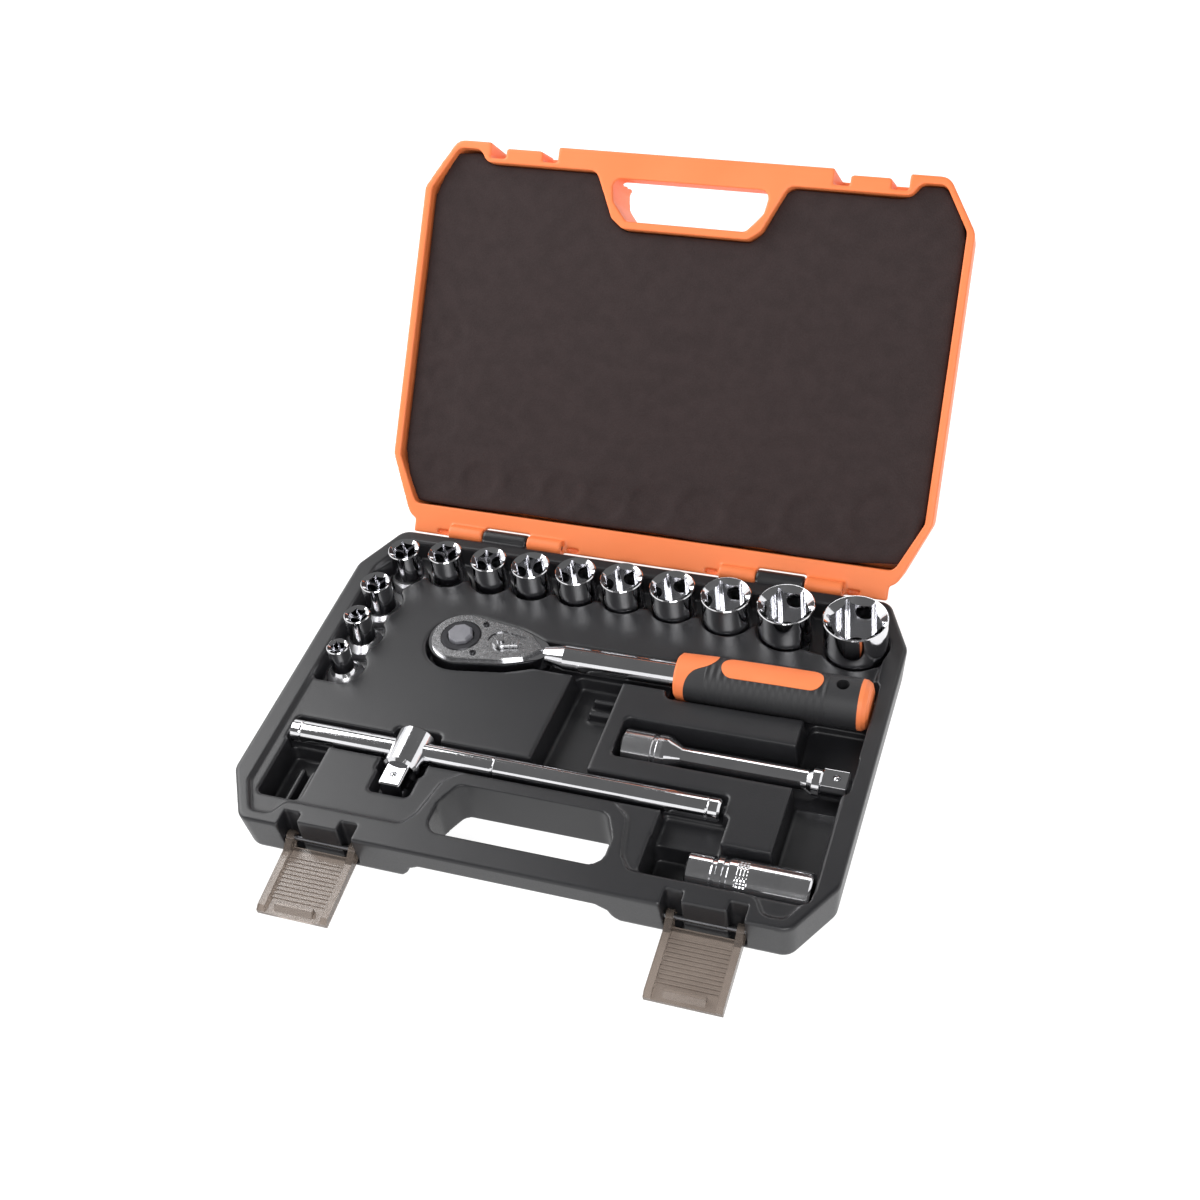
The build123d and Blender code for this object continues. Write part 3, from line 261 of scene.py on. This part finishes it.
def make_materials():
    """Every material of the set, by the name of the record's slot, with a few chrome ones by node."""
    clear = {"Transmission Weight": 0.7, "IOR": 1.49}
    grip = surface("rubber_grip", (0.020, 0.020, 0.022), (0.025, 0.025, 0.027), 60.0, 1600.0, (0.46, 0.60), 0.06)
    plug = satin(make_chrome("chrome_plug"), 0, 60.0, 160.0, 0.05)
    extension = satin(make_chrome("chrome_extension"), 0, 30.0, 56.0, 0.10)
    return {
        "base_plastic": surface(
            "base_plastic", (0.014, 0.014, 0.016), (0.017, 0.017, 0.019), 30.0, 1500.0, (0.30, 0.42), 0.04
        ),
        "lid_plastic": surface(
            "lid_plastic", (0.92, 0.225, 0.066), (0.95, 0.245, 0.078), 18.0, 1500.0, (0.40, 0.55), 0.05
        ),
        "foam": surface(
            "foam", (0.026, 0.0155, 0.0155), (0.032, 0.0195, 0.0195), 110.0, 1100.0, (0.88, 0.98), 0.30
        ),
        "latch_plastic": surface(
            "latch_plastic", (0.30, 0.245, 0.21), (0.35, 0.29, 0.25), 40.0, 300.0, (0.16, 0.24), 0.01, sockets=clear
        ),
        # pin_steel: dark steel pins, with their colour lowered further to stand in for the shade that falls in the
        # hinge between lid and base (painted shade)
        "pin_steel": surface(
            "pin_steel", (0.16, 0.16, 0.17), (0.20, 0.20, 0.21), 90.0, 800.0, (0.25, 0.38), 0.01, 1.0
        ),
        "chrome": make_chrome("chrome"),
        "sockets": ridges(satin(make_chrome("chrome_socket"), 2, 0.0, 23.0, 0.24), 2, 6.0, 20.0, 1.5, 0.05),
        "spark_plug_socket": ridges(plug, 0, 117.0, 123.0, 1.8, 0.12, across=1),
        "extension_bar": extension,
        "chrome_dark": surface(
            "chrome_dark", (0.38, 0.38, 0.39), (0.43, 0.43, 0.44), 120.0, 500.0, (0.22, 0.28), 0.003, 1.0
        ),
        "black_steel": surface(
            "black_steel", (0.030, 0.030, 0.034), (0.045, 0.045, 0.050), 80.0, 700.0, (0.28, 0.40), 0.02, 0.6
        ),
        "ball_steel": surface(
            "ball_steel", (0.62, 0.62, 0.64), (0.70, 0.70, 0.72), 200.0, 900.0, (0.08, 0.14), 0.003, 1.0
        ),
        "button_plastic": surface(
            "button_plastic", (0.17, 0.17, 0.19), (0.21, 0.21, 0.23), 150.0, 1400.0, (0.35, 0.48), 0.03
        ),
        "rubber_grip": ridges(grip, 0, 68.0, 136.0, 4.2, 0.22),
        "orange_grip": surface(
            "orange_grip", (0.92, 0.225, 0.070), (0.95, 0.25, 0.085), 40.0, 1600.0, (0.42, 0.56), 0.05
        ),
        "rubber_insert": surface(
            "rubber_insert", (0.016, 0.016, 0.016), (0.022, 0.022, 0.022), 60.0, 900.0, (0.60, 0.75), 0.06
        ),
    }


def dress(materials):
    """Give every carried-over part the material of its slot, or its own kind of chrome."""
    for row in frame["record"]["subparts"]:
        name = row["node"]
        slot = "sockets" if name.startswith("socket_") else row["material_slot"]
        mesh_slots = NODES[name].data.materials
        for index in range(len(mesh_slots)):
            mesh_slots[index] = materials.get(name, materials[slot])


# ---------------------------------------------------------------- moulded shells
def settled(piece):
    """Replace a piece's mesh by what its modifiers make of it."""
    seen = piece.evaluated_get(bpy.context.evaluated_depsgraph_get())
    mesh = bpy.data.meshes.new_from_object(seen)
    piece.modifiers.clear()
    piece.data = mesh


def rounded(piece, voxel, rounds):
    """Rebuild a piece's mesh in small cells (mm) and smooth it, which rounds its edges."""
    remesh = piece.modifiers.new("remesh", "REMESH")
    remesh.mode = "VOXEL"
    remesh.voxel_size = voxel * MM
    smooth = piece.modifiers.new("smooth", "SMOOTH")
    smooth.factor = 0.5
    smooth.iterations = rounds
    settled(piece)


def painted(piece, material):
    """Give a whole piece one material and smooth shading."""
    piece.data.materials.clear()
    piece.data.materials.append(material)
    for face in piece.data.polygons:
        face.use_smooth = True
        face.material_index = 0


def softened(node, body, material, voxel, rounds, triangles):
    """A shell like a CAD node's, with its edges and corners rounded as blow moulding leaves them."""
    piece = bpy.data.objects.new(node + "_moulded", NODES[node].data.copy())
    scene.collection.objects.link(piece)
    rounded(piece, voxel, rounds)
    faces = sum(len(face.vertices) - 2 for face in piece.data.polygons)
    thin = piece.modifiers.new("thin", "DECIMATE")
    thin.ratio = min(1.0, triangles / faces)
    settled(piece)
    painted(piece, material)
    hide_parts(node)
    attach(piece, body)
    return piece


# ---------------------------------------------------------------- foam
HINGE_Y = 123.1
HINGE_Z = 26.4
LID_ANGLE = math.radians(131.05)
LID_NORMAL = Vector((0.0, math.sin(LID_ANGLE), math.cos(LID_ANGLE)))
FOAM_FACE = 33.2
FOAM_BACK = 62.4
FACE_LAYER = 4.0
MARK_MARGIN = 1.0
MARK_DEPTH = 0.9
MARK_EDGE = 3.0
WAVE_SCALE = 0.018
WAVE_DEPTH = 0.8


def opened(x, y, z):
    """A place in the shut lid (mm) carried to where it is on the open lid (m)."""
    along = Vector((0.0, math.cos(LID_ANGLE), -math.sin(LID_ANGLE)))
    hinge = Vector((x, HINGE_Y, HINGE_Z))
    return (hinge + along * (y - HINGE_Y) + LID_NORMAL * (z - HINGE_Z)) * MM


def foam_outline():
    """The pad's outline in the shut lid: cut by hand, so its hinge edge wanders a little."""
    back = [
        (164.3, 76.0), (160.0, 93.0), (154.0, 104.0), (122.0, 107.6), (90.0, 107.9), (72.0, 106.0), (35.0, 107.9),
        (4.0, 106.4), (-28.0, 107.2), (-81.0, 106.0), (-118.0, 107.6), (-152.0, 106.6), (-159.5, 94.0),
        (-164.3, 76.0),
    ]
    left = [
        (-164.3, -84.0), (-161.0, -94.0), (-153.0, -110.5), (-137.0, -112.0), (-132.0, -106.5), (-126.0, -104.8),
        (-62.0, -104.8), (-57.5, -103.0), (-51.8, -89.0), (-46.0, -77.0), (-39.0, -71.8),
    ]
    right = [
        (40.0, -71.8), (46.5, -77.5), (52.6, -91.5), (58.0, -103.0), (63.0, -104.8), (125.0, -104.0),
        (131.0, -106.5), (136.0, -112.2), (149.0, -112.4), (154.0, -107.0), (161.5, -94.0), (164.3, -84.0),
    ]
    return back + left + right


def box_of(node):
    """A node's box in millimetres, at rest."""
    places = [node.matrix_world @ vertex.co / MM for vertex in node.data.vertices]
    low = [min(place[axis] for place in places) for axis in range(3)]
    high = [max(place[axis] for place in places) for axis in range(3)]
    return low, high


def pressed(x, y, boxes):
    """How far the socket tops have marked the pad's face (mm), with its own slight waves."""
    depth = 0.0
    for low, high in boxes:
        radius = (high[0] - low[0]) / 2 + MARK_MARGIN
        away = math.hypot(x - (low[0] + high[0]) / 2, y - (low[1] + high[1]) / 2)
        depth = max(depth, MARK_DEPTH * min(1.0, max(0.0, (radius - away) / MARK_EDGE)))
    wander = Vector((x * WAVE_SCALE, y * WAVE_SCALE, 3.1))
    return depth + WAVE_DEPTH * noise.noise(wander)


def make_foam(material):
    """The foam pad in the lid: soft edges, a slightly uneven face and faint marks of the socket tops."""
    outline = foam_outline()
    mesh = bpy.data.meshes.new("foam_pad")
    sketch = bmesh.new()
    corners = [sketch.verts.new((x * MM, y * MM, FOAM_FACE * MM)) for x, y in outline]
    face = sketch.faces.new(corners)
    grown = bmesh.ops.extrude_face_region(sketch, geom=[face])
    lifted = [item for item in grown["geom"] if isinstance(item, bmesh.types.BMVert)]
    bmesh.ops.translate(sketch, verts=lifted, vec=(0.0, 0.0, (FOAM_BACK - FOAM_FACE) * MM))
    bmesh.ops.triangulate(sketch, faces=sketch.faces[:])
    bmesh.ops.recalc_face_normals(sketch, faces=sketch.faces[:])
    sketch.to_mesh(mesh)
    sketch.free()
    pad = bpy.data.objects.new("foam_pad", mesh)
    scene.collection.objects.link(pad)
    rounded(pad, 2.0, 5)
    boxes = [box_of(node) for name, node in NODES.items() if name.startswith("socket_")]
    layer_end = FOAM_FACE + FACE_LAYER
    for vertex in pad.data.vertices:
        x, y, z = vertex.co / MM
        if z < layer_end:
            z += pressed(x, y, boxes) * (layer_end - z) / FACE_LAYER
        vertex.co = opened(x, y, z)
    painted(pad, material)
    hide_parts("lid_foam")
    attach(pad, "lid")
    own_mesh(pad)


make_camera()
make_studio()
scene.view_settings.view_transform = "Standard"
materials = make_materials()
dress(materials)
base = softened("base_shell", "case_base", materials["base_plastic"], 0.8, 5, 190000)
lid = softened("lid_shell", "lid", materials["lid_plastic"], 0.8, 5, 150000)
make_foam(materials["foam"])
